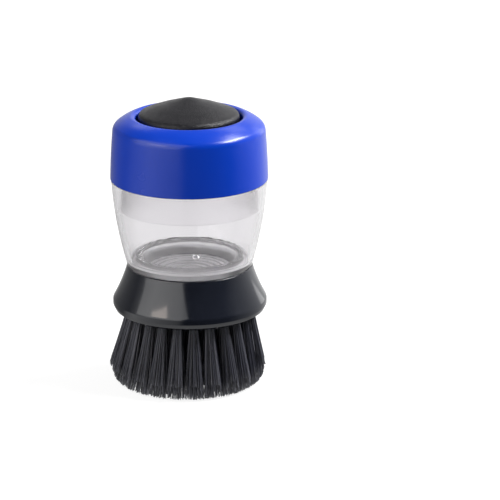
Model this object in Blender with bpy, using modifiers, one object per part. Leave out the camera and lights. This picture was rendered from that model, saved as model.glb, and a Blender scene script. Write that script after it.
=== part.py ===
"""Soap-dispensing palm scrubber: a bristle head, a clear soap reservoir and a screw cap with an air pump button.

Metres, +Z up. The origin is on the scrubber's axis, in the plane of the bristle tips that it stands on.
Each moving group hangs from an empty on the axis: the reservoir, the cap and the button.
"""

import math

import bmesh
import bpy
from mathutils import Matrix, Vector

MM = 0.001

# Fits between pieces
SEAT_GAP = 0.3 * MM
SLIDE_GAP = 0.4 * MM
CUT_OVERRUN = 1.0 * MM

# Smoothness of the turned pieces, in flat steps around the axis
BODY_STEPS = 40
PUMP_STEPS = 32
SMALL_STEPS = 24
MERGE_DISTANCE = 0.001 * MM

# Tufts: strands of nylon set in drilled holes of the block, fanned outwards and trimmed flat
BRISTLE_LENGTH = 30.4 * MM
OUTER_TUFTS = 24
MIDDLE_TUFTS = 13
INNER_TUFTS = 7
BLOCK_EDGE_WALL = 0.3 * MM
MIDDLE_RING_SHARE = 0.68
INNER_RING_SHARE = 0.37
OUTER_RING_TURN = math.radians(4.7)
OUTER_LEAN = math.radians(12.0)
MIDDLE_LEAN = math.radians(6.0)
INNER_LEAN = math.radians(2.5)
TUFT_HOLE_RADIUS = 2.1 * MM
TUFT_HOLE_DEPTH = 2.1 * MM
STRANDS_AROUND = 6
STRAND_ROOT_RADIUS = 0.52 * MM
STRAND_TIP_RADIUS = 0.5 * MM
STRAND_CIRCLE = 1.1 * MM
STRAND_SPREAD = 1.6 * MM
STRAND_ROOTING = 0.5 * MM
TRIM_INSET = 1.1 * MM
TRIM_ROUNDING = 7.0 * MM
TRIM_CUT = 0.5 * MM
HOLE_SIDES = 8
STRAND_SIDES = 3

# Block that carries the tufts
BLOCK_THICKNESS = 5.6 * MM
BLOCK_FACE_THICKNESS = 1.2 * MM
BLOCK_GROOVE_DEPTH = 0.9 * MM
OUTLET_RADIUS = 1.9 * MM
FUNNEL_RADIUS = 8.0 * MM
FUNNEL_DEPTH = 2.0 * MM

# Collar: flared skirt with a rolled ridge and a socket for the reservoir's spigot
COLLAR_HEIGHT = 19.0 * MM
COLLAR_LIP_DROP = 0.5 * MM
COLLAR_LIP_WIDTH = 1.6 * MM
COLLAR_LIP_TUCK = 2.7 * MM
COLLAR_LIP_RISE = 1.3 * MM
COLLAR_RIDGE_RADIUS = 31.2 * MM
COLLAR_RIDGE_RISE = 5.0 * MM
COLLAR_TURN_RISE = 3.0 * MM
COLLAR_TOP_TUCK = 5.8 * MM
COLLAR_RIDGE_ROUND = 2.2 * MM
COLLAR_HOLLOW = 0.45 * MM
COLLAR_WALL = 1.9 * MM
SOCKET_WALL = 1.8 * MM

# Reservoir: thick clear tub on a spigot
RESERVOIR_HEIGHT = 35.9 * MM
RESERVOIR_BULGE = 0.95 * MM
RESERVOIR_WALL = 2.2 * MM
RESERVOIR_FOOT_ROUND = 0.5 * MM
RIM_BEAD_HEIGHT = 0.9 * MM
RIM_BEAD_DEPTH = 0.2 * MM
CAP_OVERHANG = 0.2 * MM
NECK_HEIGHT = 2.4 * MM
NECK_WALL = 1.3 * MM
SPIGOT_STEP = 3.2 * MM
SPIGOT_DEPTH = 8.0 * MM
SPIGOT_WALL = 2.0 * MM
LEDGE_HEIGHT = 3.7 * MM
LEDGE_WIDTH = 1.7 * MM
LEDGE_FILLET = 1.9 * MM
WELL_INSET = 7.4 * MM
WELL_DRAFT = 1.9 * MM
WELL_DEPTH = 5.5 * MM
WELL_FALL = 0.5 * MM
RING_STEP = 0.4 * MM
OUTER_STEP_RADIUS = 11.4 * MM
INNER_STEP_RADIUS = 8.2 * MM
FLOOR_THICKNESS = 1.5 * MM
GATE_PIP_RADIUS = 1.7 * MM
GATE_PIP_TURN = math.radians(80.0)
PIP_FLATNESS_SHARE = 0.6

# Slit valve and its retainer, in a boss under the reservoir's floor
VALVE_RADIUS = 4.6 * MM
VALVE_FLANGE_WIDTH = 2.0 * MM
VALVE_FLANGE_HEIGHT = 1.1 * MM
VALVE_MEMBRANE = 0.8 * MM
VALVE_DISH = 0.9 * MM
VALVE_LIP = 0.6 * MM
SLIT_LENGTH = 5.6 * MM
SLIT_WIDTH = 0.3 * MM
BOSS_WALL = 1.5 * MM
BOSS_DEPTH = 3.1 * MM
RETAINER_WIDTH = 4.4 * MM
RETAINER_HEIGHT = 1.1 * MM
NECK_SEAL_HEIGHT = 1.5 * MM
SEAL_ROUND = 0.4 * MM

# Cap shell
CAP_RADIUS = 31.75 * MM
CAP_HEIGHT = 21.2 * MM
CAP_TAPER = 1.2 * MM
CAP_BARREL = 0.18 * MM
CAP_TOP_RISE = 3.95 * MM
CAP_TOP_INSET = 1.0 * MM
CAP_TOP_WIDTH = 10.52 * MM
CAP_TOP_BULGE = 0.25 * MM
CAP_CREASE_ROUND = 1.1 * MM
CAP_RIM_ROUND = 2.0 * MM
CAP_WALL = 1.5 * MM
CAP_EDGE_GAP = 0.35 * MM
CAP_LEDGE = 1.1 * MM
CAP_TOP_WALL = 2.6 * MM
CAP_TUBE_WALL = 1.8 * MM
CAP_TUBE_DEPTH = 8.0 * MM

# Cap insert: clear plate with the plug skirt, which the reservoir's mouth screws onto
PLATE_THICKNESS = 1.8 * MM
SKIRT_DEPTH = 12.0 * MM
SKIRT_WALL = 1.7 * MM
THREAD_ROOM = 1.2 * MM
AIR_PORT_RADIUS = 1.9 * MM
STOP_WALL = 1.9 * MM
GASKET_HEIGHT = 1.5 * MM

# Button: rigid core under a soft cover
BUTTON_GAP = 0.93 * MM
BUTTON_TRAVEL = 5.0 * MM
BUTTON_EDGE_RISE = 1.05 * MM
BUTTON_TENT_RISE = 6.6 * MM
BUTTON_EDGE_ROUND = 2.2 * MM
COVER_WALL = 1.1 * MM
COVER_THICKNESS = 1.8 * MM
COVER_DEPTH = 6.0 * MM
CORE_WALL = 1.5 * MM
CORE_SHELL = 1.8 * MM
CORE_CATCH = 1.2 * MM
CORE_CATCH_HEIGHT = 1.6 * MM
CORE_LAND_DROP = 2.6 * MM

# Return spring, bellows and clamp ring
SPRING_WIRE = 1.2 * MM
SPRING_ROOM = 1.3 * MM
SPRING_TURNS = 5
POINTS_PER_TURN = 8
BELLOWS_FOLDS = 3
BELLOWS_FOLD_DEPTH = 2.6 * MM
BELLOWS_WALL = 0.7 * MM
BELLOWS_FLANGE = 1.0 * MM
BELLOWS_ROOM = 1.0 * MM
RING_THICKNESS = 1.2 * MM

# Outline of the button's tent, as shares of its radius and of its rise
TENT_RADIUS_SHARES = (0.0, 0.08, 0.19, 0.34, 0.5, 0.67, 0.83, 1.0)
TENT_RISE_SHARES = (1.0, 0.955, 0.852, 0.726, 0.591, 0.45, 0.305, 0.14)
FULL_TURN = 2 * math.pi

# Heights above the bristle tips
FACE_Z = BRISTLE_LENGTH
LIP_Z = FACE_Z - COLLAR_LIP_DROP
PLATE_TOP_Z = FACE_Z + BLOCK_THICKNESS
COLLAR_TOP_Z = LIP_Z + COLLAR_HEIGHT
FOOT_Z = COLLAR_TOP_Z + SEAT_GAP
SPIGOT_END_Z = FOOT_Z - SPIGOT_DEPTH
NECK_SEAL_Z = SPIGOT_END_Z - SEAT_GAP - NECK_SEAL_HEIGHT
SHOULDER_Z = FOOT_Z + RESERVOIR_HEIGHT
CAP_EDGE_Z = SHOULDER_Z + CAP_EDGE_GAP
RIM_Z = CAP_EDGE_Z + CAP_HEIGHT + CAP_TOP_RISE

# Radii that several pieces share
COLLAR_LIP_RADIUS = COLLAR_RIDGE_RADIUS - COLLAR_LIP_TUCK
BLOCK_FACE_RADIUS = COLLAR_LIP_RADIUS - COLLAR_LIP_WIDTH - SEAT_GAP
OUTER_RING_RADIUS = BLOCK_FACE_RADIUS - BLOCK_EDGE_WALL - TUFT_HOLE_RADIUS
MIDDLE_RING_RADIUS = OUTER_RING_RADIUS * MIDDLE_RING_SHARE
INNER_RING_RADIUS = OUTER_RING_RADIUS * INNER_RING_SHARE
TRIM_FLAT_RADIUS = BLOCK_FACE_RADIUS - TRIM_INSET
RESERVOIR_FOOT_RADIUS = COLLAR_RIDGE_RADIUS - COLLAR_TOP_TUCK
WELL_RADIUS = RESERVOIR_FOOT_RADIUS - WELL_INSET
GATE_PIP_OFFSET = OUTER_STEP_RADIUS + GATE_PIP_RADIUS
SPIGOT_RADIUS = RESERVOIR_FOOT_RADIUS - SPIGOT_STEP
SOCKET_RADIUS = SPIGOT_RADIUS + SLIDE_GAP
CAP_INNER_RADIUS = CAP_RADIUS - CAP_WALL
NECK_RADIUS = CAP_INNER_RADIUS - SLIDE_GAP
MOUTH_RADIUS = NECK_RADIUS - NECK_WALL
SHOULDER_RADIUS = CAP_RADIUS - CAP_OVERHANG
HOLE_RADIUS = CAP_RADIUS - CAP_TOP_WIDTH
BUTTON_RADIUS = HOLE_RADIUS - BUTTON_GAP
CORE_RADIUS = BUTTON_RADIUS - COVER_WALL - SEAT_GAP
CORE_SKIRT_RADIUS = CORE_RADIUS - CORE_WALL
SPRING_RADIUS = CORE_SKIRT_RADIUS - SPRING_ROOM - SPRING_WIRE / 2
BELLOWS_RADIUS = SPRING_RADIUS - SPRING_WIRE / 2 - BELLOWS_ROOM
BELLOWS_NECK_RADIUS = BELLOWS_RADIUS - BELLOWS_FOLD_DEPTH
STOP_RADIUS = CORE_SKIRT_RADIUS
RING_RADIUS = STOP_RADIUS - SEAT_GAP
VALVE_HOLE_RADIUS = VALVE_RADIUS + SEAT_GAP
BOSS_RADIUS = VALVE_RADIUS + SEAT_GAP + RETAINER_WIDTH + SEAT_GAP + BOSS_WALL


def clear_scene():
    for item in list(bpy.data.objects):
        bpy.data.objects.remove(item, do_unlink=True)


def make_collection(name):
    group = bpy.data.collections.new(name)
    bpy.context.scene.collection.children.link(group)
    return group


def make_material(name, color, roughness, metallic=0.0, transmission=0.0):
    material = bpy.data.materials.new(name)
    material.use_nodes = True
    shader = material.node_tree.nodes["Principled BSDF"]
    shader.inputs["Base Color"].default_value = (*color, 1.0)
    shader.inputs["Roughness"].default_value = roughness
    shader.inputs["Metallic"].default_value = metallic
    shader.inputs["Transmission Weight"].default_value = transmission
    return material


def make_empty(name, height, parent=None):
    """An axis empty at a height above the bristle tips; its parent's own height is taken off."""
    empty = bpy.data.objects.new(name, None)
    PARTS.objects.link(empty)
    empty.parent = parent
    empty.location.z = height - (AXIS_HEIGHTS[parent.name] if parent else 0)
    AXIS_HEIGHTS[name] = height
    return empty


def link_part(name, mesh, material, parent, collection=None):
    part = bpy.data.objects.new(name, mesh)
    (collection or PARTS).objects.link(part)
    part.parent = parent
    if material and not mesh.materials:
        mesh.materials.append(material)
    return part


def smooth(mesh, angle=math.radians(35)):
    mesh.shade_smooth()
    mesh.set_sharp_from_angle(angle=angle)


def bow(start, end, bulge, count):
    """Points on a shallow arc from start to end, both included, bulging to the left of the way by bulge."""
    start = Vector(start)
    end = Vector(end)
    along = end - start
    side = Vector((-along.y, along.x)).normalized()
    shares = [step / count for step in range(count + 1)]
    return [tuple(start + along * share + side * 4 * bulge * share * (1 - share)) for share in shares]


def fillet(before, corner, after, radius, count=2):
    """Points on the arc that rounds a corner of an outline."""
    corner = Vector(corner)
    inward = (Vector(before) - corner).normalized()
    outward = (Vector(after) - corner).normalized()
    half_angle = inward.angle(outward) / 2
    setback = radius / math.tan(half_angle)
    centre = corner + (inward + outward).normalized() * radius / math.sin(half_angle)
    first = corner + inward * setback - centre
    last = corner + outward * setback - centre
    sweep = first.angle_signed(last)
    points = []
    for step in range(count + 1):
        turn = -sweep * step / count
        points.append(tuple(centre + Matrix.Rotation(turn, 2) @ first))
    return points


def turned(name, outline, material, parent, steps, closed=True):
    """A piece turned about the axis; the outline is (radius, height) points, down its outer side."""
    mesh = bpy.data.meshes.new(name)
    points = [(radius, 0, height) for radius, height in outline]
    edges = [(i, i + 1) for i in range(len(points) - 1)]
    if closed:
        edges.append((len(points) - 1, 0))
    mesh.from_pydata(points, edges, [])
    part = link_part(name, mesh, material, parent)
    screw = part.modifiers.new("Turn", "SCREW")
    screw.steps = steps
    screw.render_steps = steps
    screw.use_merge_vertices = True
    screw.merge_threshold = MERGE_DISTANCE
    return bake(part)


def bake(part):
    """Replaces an object's mesh by its evaluated one, and clears its modifiers."""
    bpy.context.view_layer.update()
    evaluated = part.evaluated_get(bpy.context.evaluated_depsgraph_get())
    mesh = bpy.data.meshes.new_from_object(evaluated)
    mesh.name = part.name
    part.modifiers.clear()
    part.data = mesh
    smooth(mesh)
    return part


def boolean(part, other, operation):
    modifier = part.modifiers.new(operation.title(), "BOOLEAN")
    modifier.operation = operation
    modifier.solver = "EXACT"
    modifier.object = other
    return modifier


def cutter_from(name, mesh_builder, parent):
    """A wire-displayed cutter or joining tool in the cutters' collection."""
    mesh = bpy.data.meshes.new(name)
    tool = mesh_builder(mesh)
    cutter = link_part(name, tool, None, parent, CUTTERS)
    cutter.hide_render = True
    cutter.display_type = "WIRE"
    return cutter


def trim_height(radius):
    """Height of the trimmed tips: flat in the middle, rounded up towards the outer edge."""
    past = max(0.0, radius - TRIM_FLAT_RADIUS)
    past = min(past, TRIM_ROUNDING)
    return TRIM_ROUNDING - math.sqrt(TRIM_ROUNDING ** 2 - past ** 2)


def build_tuft_mesh(name, ring_radius, lean):
    """One tuft, with its root at the block's face and +X pointing outwards from the scrubber's axis."""
    plug_radius = TUFT_HOLE_RADIUS - SEAT_GAP
    plug_height = TUFT_HOLE_DEPTH - SEAT_GAP

    def build_plug(mesh):
        shape = bmesh.new()
        place = Matrix.Translation((0, 0, plug_height / 2))
        bmesh.ops.create_cone(shape, cap_ends=True, segments=HOLE_SIDES, radius1=plug_radius,
                              radius2=plug_radius, depth=plug_height, matrix=place)
        shape.to_mesh(mesh)
        shape.free()
        return mesh

    def build_strands(mesh):
        shape = bmesh.new()
        feet = [(0.0, 0.0)]
        for step in range(STRANDS_AROUND):
            turn = FULL_TURN * step / STRANDS_AROUND
            feet.append((math.cos(turn), math.sin(turn)))
        for out, across in feet:
            foot = Vector((STRAND_CIRCLE * out, STRAND_CIRCLE * across))
            drift = Vector((BRISTLE_LENGTH * math.tan(lean) + STRAND_SPREAD * out, STRAND_SPREAD * across))
            tip = foot + drift + Vector((ring_radius, 0))
            reach = BRISTLE_LENGTH + TRIM_CUT - trim_height(tip.length)
            length = reach + STRAND_ROOTING
            slope = drift / BRISTLE_LENGTH
            shear = Matrix.Identity(4)
            shear[0][2] = -slope.x
            shear[1][2] = -slope.y
            down = Matrix.Translation((foot.x, foot.y, 0)) @ shear
            down = down @ Matrix.Translation((0, 0, STRAND_ROOTING - length / 2))
            bmesh.ops.create_cone(shape, cap_ends=True, segments=STRAND_SIDES, radius1=STRAND_TIP_RADIUS,
                                  radius2=STRAND_ROOT_RADIUS, depth=length, matrix=down)
        everything = shape.verts[:] + shape.edges[:] + shape.faces[:]
        bmesh.ops.bisect_plane(shape, geom=everything, plane_co=(0, 0, -BRISTLE_LENGTH), plane_no=(0, 0, -1),
                               clear_outer=True)
        rims = [edge for edge in shape.edges if edge.is_boundary]
        bmesh.ops.holes_fill(shape, edges=rims, sides=STRAND_SIDES)
        shape.to_mesh(mesh)
        shape.free()
        return mesh

    plug = link_part(name, build_plug(bpy.data.meshes.new(name)), NYLON, None)
    strands = cutter_from(name + "_strands", build_strands, None)
    boolean(plug, strands, "UNION")
    bake(plug)
    mesh = plug.data
    bpy.data.objects.remove(plug)
    bpy.data.objects.remove(strands)
    return mesh


def tuft_places(ring_radius, count, first_turn):
    """Root points of one ring of tufts, with the turn of each about the axis."""
    turns = [first_turn + FULL_TURN * step / count for step in range(count)]
    return [(ring_radius * math.cos(turn), ring_radius * math.sin(turn), turn) for turn in turns]


def build_tufts(parent):
    rings = (
        ("tuft_outer", OUTER_RING_RADIUS, OUTER_TUFTS, OUTER_LEAN, OUTER_RING_TURN),
        ("tuft_middle", MIDDLE_RING_RADIUS, MIDDLE_TUFTS, MIDDLE_LEAN, 0),
        ("tuft_inner", INNER_RING_RADIUS, INNER_TUFTS, INNER_LEAN, 0),
    )
    places = []
    for name, ring_radius, count, lean, first_turn in rings:
        mesh = build_tuft_mesh(name, ring_radius, lean)
        mesh.materials.clear()
        mesh.materials.append(NYLON)
        tufts = tuft_places(ring_radius, count, first_turn)
        for number, (x, y, turn) in enumerate(tufts, start=1):
            tuft = link_part(f"{name}_{number:02d}", mesh, NYLON, parent)
            tuft.location = (x, y, FACE_Z)
            tuft.rotation_euler.z = turn
            places.append((x, y))
    return places


def build_brush_block(parent, places):
    """Disc snapped into the collar, with a drilled hole for each tuft and a funnel to the soap outlet."""
    plate_radius = BLOCK_FACE_RADIUS + BLOCK_GROOVE_DEPTH
    hub_top = NECK_SEAL_Z - SEAT_GAP
    outline = [
        (SPIGOT_RADIUS, hub_top),
        (SPIGOT_RADIUS, PLATE_TOP_Z),
        (plate_radius, PLATE_TOP_Z),
        (plate_radius, FACE_Z + BLOCK_FACE_THICKNESS),
        (BLOCK_FACE_RADIUS, FACE_Z + BLOCK_FACE_THICKNESS),
        (BLOCK_FACE_RADIUS, FACE_Z),
        (OUTLET_RADIUS, FACE_Z),
        (OUTLET_RADIUS, hub_top - FUNNEL_DEPTH),
        (FUNNEL_RADIUS, hub_top),
    ]
    block = turned("brush_block", outline, BLACK_SATIN, parent, BODY_STEPS)

    def build_drills(mesh):
        shape = bmesh.new()
        depth = TUFT_HOLE_DEPTH + CUT_OVERRUN
        for x, y in places:
            place = Matrix.Translation((x, y, FACE_Z + TUFT_HOLE_DEPTH - depth / 2))
            turn = Matrix.Rotation(math.atan2(y, x), 4, "Z")
            bmesh.ops.create_cone(shape, cap_ends=True, segments=HOLE_SIDES, radius1=TUFT_HOLE_RADIUS,
                                  radius2=TUFT_HOLE_RADIUS, depth=depth, matrix=place @ turn)
        shape.to_mesh(mesh)
        shape.free()
        return mesh

    boolean(block, cutter_from("tuft_drills", build_drills, parent), "DIFFERENCE")
    return block


def build_brush_collar(parent):
    """Flared skirt with a rolled ridge; a socket tube inside it takes the reservoir's spigot."""
    ridge = (COLLAR_RIDGE_RADIUS, LIP_Z + COLLAR_RIDGE_RISE)
    lip_outer = (COLLAR_LIP_RADIUS, LIP_Z)
    top_outer = (RESERVOIR_FOOT_RADIUS, COLLAR_TOP_Z)
    turn_under = (COLLAR_RIDGE_RADIUS, LIP_Z + COLLAR_TURN_RISE)
    lip_inner_radius = COLLAR_LIP_RADIUS - COLLAR_LIP_WIDTH
    groove_radius = lip_inner_radius + BLOCK_GROOVE_DEPTH
    tube_end = PLATE_TOP_Z + SLIDE_GAP
    flare = bow(top_outer, (COLLAR_RIDGE_RADIUS, LIP_Z + COLLAR_RIDGE_RISE), -COLLAR_HOLLOW, 5)
    outline = flare[:-1]
    outline += fillet(flare[-2], ridge, turn_under, COLLAR_RIDGE_ROUND, 3)
    outline += fillet(ridge, turn_under, lip_outer, COLLAR_RIDGE_ROUND / 2, 2)
    outline += [
        lip_outer,
        (lip_inner_radius, LIP_Z),
        (lip_inner_radius, LIP_Z + COLLAR_LIP_RISE),
        (groove_radius, LIP_Z + COLLAR_LIP_RISE),
        (groove_radius, tube_end),
    ]
    pocket_radius = SOCKET_RADIUS + SOCKET_WALL
    skirt_at_top = pocket_radius + SEAT_GAP
    climb = (skirt_at_top + COLLAR_WALL - RESERVOIR_FOOT_RADIUS) / (COLLAR_RIDGE_RADIUS - RESERVOIR_FOOT_RADIUS)
    pocket_top = COLLAR_TOP_Z - climb * (COLLAR_HEIGHT - COLLAR_RIDGE_RISE) - COLLAR_WALL
    outline += [
        (skirt_at_top, pocket_top),
        (pocket_radius, pocket_top),
        (pocket_radius, tube_end),
        (SOCKET_RADIUS, tube_end),
        (SOCKET_RADIUS, COLLAR_TOP_Z),
    ]
    return turned("brush_collar", outline, BLACK_GLOSS, parent, BODY_STEPS)


def build_neck_seal(parent):
    """Flat ring between the spigot's end and the block's hub."""
    outer = SPIGOT_RADIUS - SEAT_GAP
    inner = SPIGOT_RADIUS - SPIGOT_WALL
    low = NECK_SEAL_Z - AXIS_HEIGHTS[parent.name]
    return turned("neck_seal", gasket_outline(inner, outer, low, NECK_SEAL_HEIGHT), RUBBER, parent, PUMP_STEPS)


def gasket_outline(inner, outer, low, height):
    """Section of a flat ring with its outer edges taken off."""
    high = low + height
    return [
        (inner, high),
        (outer - SEAL_ROUND, high),
        (outer, high - SEAL_ROUND),
        (outer, low + SEAL_ROUND),
        (outer - SEAL_ROUND, low),
        (inner, low),
    ]


def wall_points():
    """Outer wall of the reservoir from under its rim bead down to its foot, heights from the foot."""
    top = (SHOULDER_RADIUS - RIM_BEAD_DEPTH, RESERVOIR_HEIGHT - RIM_BEAD_HEIGHT)
    foot = (RESERVOIR_FOOT_RADIUS, RESERVOIR_FOOT_ROUND)
    return bow(top, foot, RESERVOIR_BULGE, 6)


def wall_radius(height):
    """Outer radius of the reservoir's wall at a height above its foot."""
    points = wall_points()
    for (upper_radius, upper), (lower_radius, lower) in zip(points, points[1:]):
        if height >= lower:
            share = (height - lower) / (upper - lower)
            return lower_radius + share * (upper_radius - lower_radius)
    return RESERVOIR_FOOT_RADIUS


def skirt_radius():
    """Outer radius of the plug skirt, which passes the neck's thread and stays clear of the tapered wall."""
    skirt_end = RESERVOIR_HEIGHT + CAP_EDGE_GAP - SKIRT_DEPTH
    return min(MOUTH_RADIUS - THREAD_ROOM, wall_radius(skirt_end) - RESERVOIR_WALL - SLIDE_GAP)


def build_reservoir(parent):
    """Clear tub: rim bead, bowed wall, spigot with the valve boss, stepped floor, well, ledge and neck."""
    neck_top = RESERVOIR_HEIGHT + NECK_HEIGHT
    ledge_radius = WELL_RADIUS + WELL_DRAFT
    floor_z = LEDGE_HEIGHT - WELL_DEPTH
    seat_z = floor_z - WELL_FALL - 2 * RING_STEP
    under_z = seat_z - FLOOR_THICKNESS
    spigot_inner = SPIGOT_RADIUS - SPIGOT_WALL
    outline = [
        (NECK_RADIUS, neck_top),
        (NECK_RADIUS, RESERVOIR_HEIGHT),
        (SHOULDER_RADIUS, RESERVOIR_HEIGHT),
        (SHOULDER_RADIUS, RESERVOIR_HEIGHT - RIM_BEAD_HEIGHT + RIM_BEAD_DEPTH),
    ]
    outline += wall_points()
    outline += [
        (RESERVOIR_FOOT_RADIUS - RESERVOIR_FOOT_ROUND, 0),
        (SPIGOT_RADIUS, 0),
        (SPIGOT_RADIUS, -SPIGOT_DEPTH),
        (spigot_inner, -SPIGOT_DEPTH),
        (spigot_inner, under_z),
        (BOSS_RADIUS, under_z),
        (BOSS_RADIUS, under_z - BOSS_DEPTH),
        (BOSS_RADIUS - BOSS_WALL, under_z - BOSS_DEPTH),
        (BOSS_RADIUS - BOSS_WALL, under_z),
        (VALVE_HOLE_RADIUS, under_z),
        (VALVE_HOLE_RADIUS, seat_z),
        (INNER_STEP_RADIUS, seat_z),
        (INNER_STEP_RADIUS, seat_z + RING_STEP),
        (OUTER_STEP_RADIUS, seat_z + RING_STEP),
        (OUTER_STEP_RADIUS, seat_z + 2 * RING_STEP),
        (WELL_RADIUS, floor_z),
        (ledge_radius, LEDGE_HEIGHT),
        (ledge_radius + LEDGE_WIDTH, LEDGE_HEIGHT),
    ]
    skirt_end = RESERVOIR_HEIGHT + CAP_EDGE_GAP - SKIRT_DEPTH
    low = LEDGE_HEIGHT + LEDGE_FILLET
    heights = [low + (skirt_end - low) * step / 2 for step in range(3)]
    outline += [(wall_radius(height) - RESERVOIR_WALL, height) for height in heights]
    outline += [(MOUTH_RADIUS, RESERVOIR_HEIGHT - RIM_BEAD_HEIGHT), (MOUTH_RADIUS, neck_top)]
    tub = turned("reservoir", outline, CLEAR, parent, BODY_STEPS)

    def build_pip(mesh):
        shape = bmesh.new()
        out = Vector((math.cos(GATE_PIP_TURN), math.sin(GATE_PIP_TURN), 0)) * GATE_PIP_OFFSET
        place = Matrix.Translation(out + Vector((0, 0, floor_z - WELL_FALL / 2)))
        flat = Matrix.Diagonal((1, 1, PIP_FLATNESS_SHARE, 1))
        bmesh.ops.create_uvsphere(shape, u_segments=10, v_segments=5, radius=GATE_PIP_RADIUS,
                                  matrix=place @ flat)
        shape.to_mesh(mesh)
        shape.free()
        return mesh

    boolean(tub, cutter_from("gate_pip", build_pip, parent), "UNION")
    return tub


def valve_seat_height():
    """Underside of the reservoir's floor above its foot."""
    return LEDGE_HEIGHT - WELL_DEPTH - WELL_FALL - 2 * RING_STEP - FLOOR_THICKNESS


def build_slit_valve(parent):
    """Silicone disc held by its flange, with a dished membrane that a cross slit opens."""
    flange_top = valve_seat_height() - SEAT_GAP
    flange_low = flange_top - VALVE_FLANGE_HEIGHT
    top = valve_seat_height() + FLOOR_THICKNESS - SEAT_GAP
    flange_radius = VALVE_RADIUS + VALVE_FLANGE_WIDTH
    membrane_radius = VALVE_RADIUS - VALVE_LIP
    membrane_top = top - VALVE_DISH
    outline = [
        (0, membrane_top),
        (membrane_radius - VALVE_LIP, membrane_top + VALVE_LIP / 2),
        (membrane_radius, top),
        (VALVE_RADIUS, top - VALVE_LIP / 2),
        (VALVE_RADIUS, flange_top),
        (flange_radius, flange_top),
        (flange_radius, flange_low),
        (membrane_radius, flange_low),
        (membrane_radius - VALVE_LIP, membrane_top - VALVE_MEMBRANE),
        (0, membrane_top - VALVE_MEMBRANE),
    ]
    valve = turned("slit_valve", outline, SILICONE, parent, SMALL_STEPS, closed=False)

    def build_slit(mesh):
        shape = bmesh.new()
        depth = VALVE_MEMBRANE + 2 * CUT_OVERRUN
        place = Matrix.Translation((0, 0, membrane_top - VALVE_MEMBRANE / 2))
        size = Matrix.Diagonal((SLIT_LENGTH, SLIT_WIDTH, depth, 1))
        bmesh.ops.create_cube(shape, size=1, matrix=place @ size)
        shape.to_mesh(mesh)
        shape.free()
        return mesh

    for name, turn in (("slit_along", 0), ("slit_across", FULL_TURN / 4)):
        slit = cutter_from(name, build_slit, parent)
        slit.rotation_euler.z = turn
        boolean(valve, slit, "DIFFERENCE")
    return valve


def build_valve_retainer(parent):
    """Ring pressed into the boss under the valve's flange."""
    high = valve_seat_height() - 2 * SEAT_GAP - VALVE_FLANGE_HEIGHT
    outer = BOSS_RADIUS - BOSS_WALL - SEAT_GAP
    inner = outer - RETAINER_WIDTH
    low = high - RETAINER_HEIGHT
    outline = [(inner, high), (outer, high), (outer, low), (inner, low)]
    return turned("valve_retainer", outline, WHITE_PLASTIC, parent, SMALL_STEPS)


def build_lid_gasket(parent):
    """Flat ring between the reservoir's neck and the insert's plate."""
    inner = skirt_radius() + SEAT_GAP
    outer = NECK_RADIUS - SEAT_GAP
    low = SHOULDER_Z + NECK_HEIGHT + SEAT_GAP - AXIS_HEIGHTS[parent.name]
    return turned("lid_gasket", gasket_outline(inner, outer, low, GASKET_HEIGHT), RUBBER, parent, BODY_STEPS)


def plate_height():
    """Underside of the insert's plate above the cap's lower edge."""
    return NECK_HEIGHT - CAP_EDGE_GAP + SEAT_GAP + GASKET_HEIGHT + SEAT_GAP


def catch_height():
    """Underside of the button's catch flange at rest, above the cap's lower edge."""
    tube_end = CAP_HEIGHT + CAP_TOP_RISE - CAP_TUBE_DEPTH
    return tube_end - SLIDE_GAP - CORE_CATCH_HEIGHT


def build_cap_insert(parent):
    """Clear plate with the plug skirt below and the wall above that stops the button."""
    low = plate_height()
    high = low + PLATE_THICKNESS
    stop = catch_height() - BUTTON_TRAVEL - SEAT_GAP
    outer = CAP_INNER_RADIUS - SLIDE_GAP
    skirt = skirt_radius()
    outline = [
        (STOP_RADIUS + STOP_WALL, stop),
        (STOP_RADIUS + STOP_WALL, high),
        (outer, high),
        (outer, low),
        (skirt, low),
        (skirt, -SKIRT_DEPTH),
        (skirt - SKIRT_WALL, -SKIRT_DEPTH),
        (skirt - SKIRT_WALL, low),
        (AIR_PORT_RADIUS, low),
        (AIR_PORT_RADIUS, high),
        (STOP_RADIUS, high),
        (STOP_RADIUS, stop),
    ]
    return turned("cap_insert", outline, CLEAR, parent, BODY_STEPS)


def rim_corner(crease, centre):
    """Where the hole's wall meets the top's slope, which runs from the crease to touch the rim's rounding."""
    across = crease[0] - centre[0]
    rise = centre[1] - crease[1]
    slope = math.atan2(rise, across) + math.asin(CAP_RIM_ROUND / math.hypot(across, rise))
    return (HOLE_RADIUS, crease[1] + (crease[0] - HOLE_RADIUS) * math.tan(slope))


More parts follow.
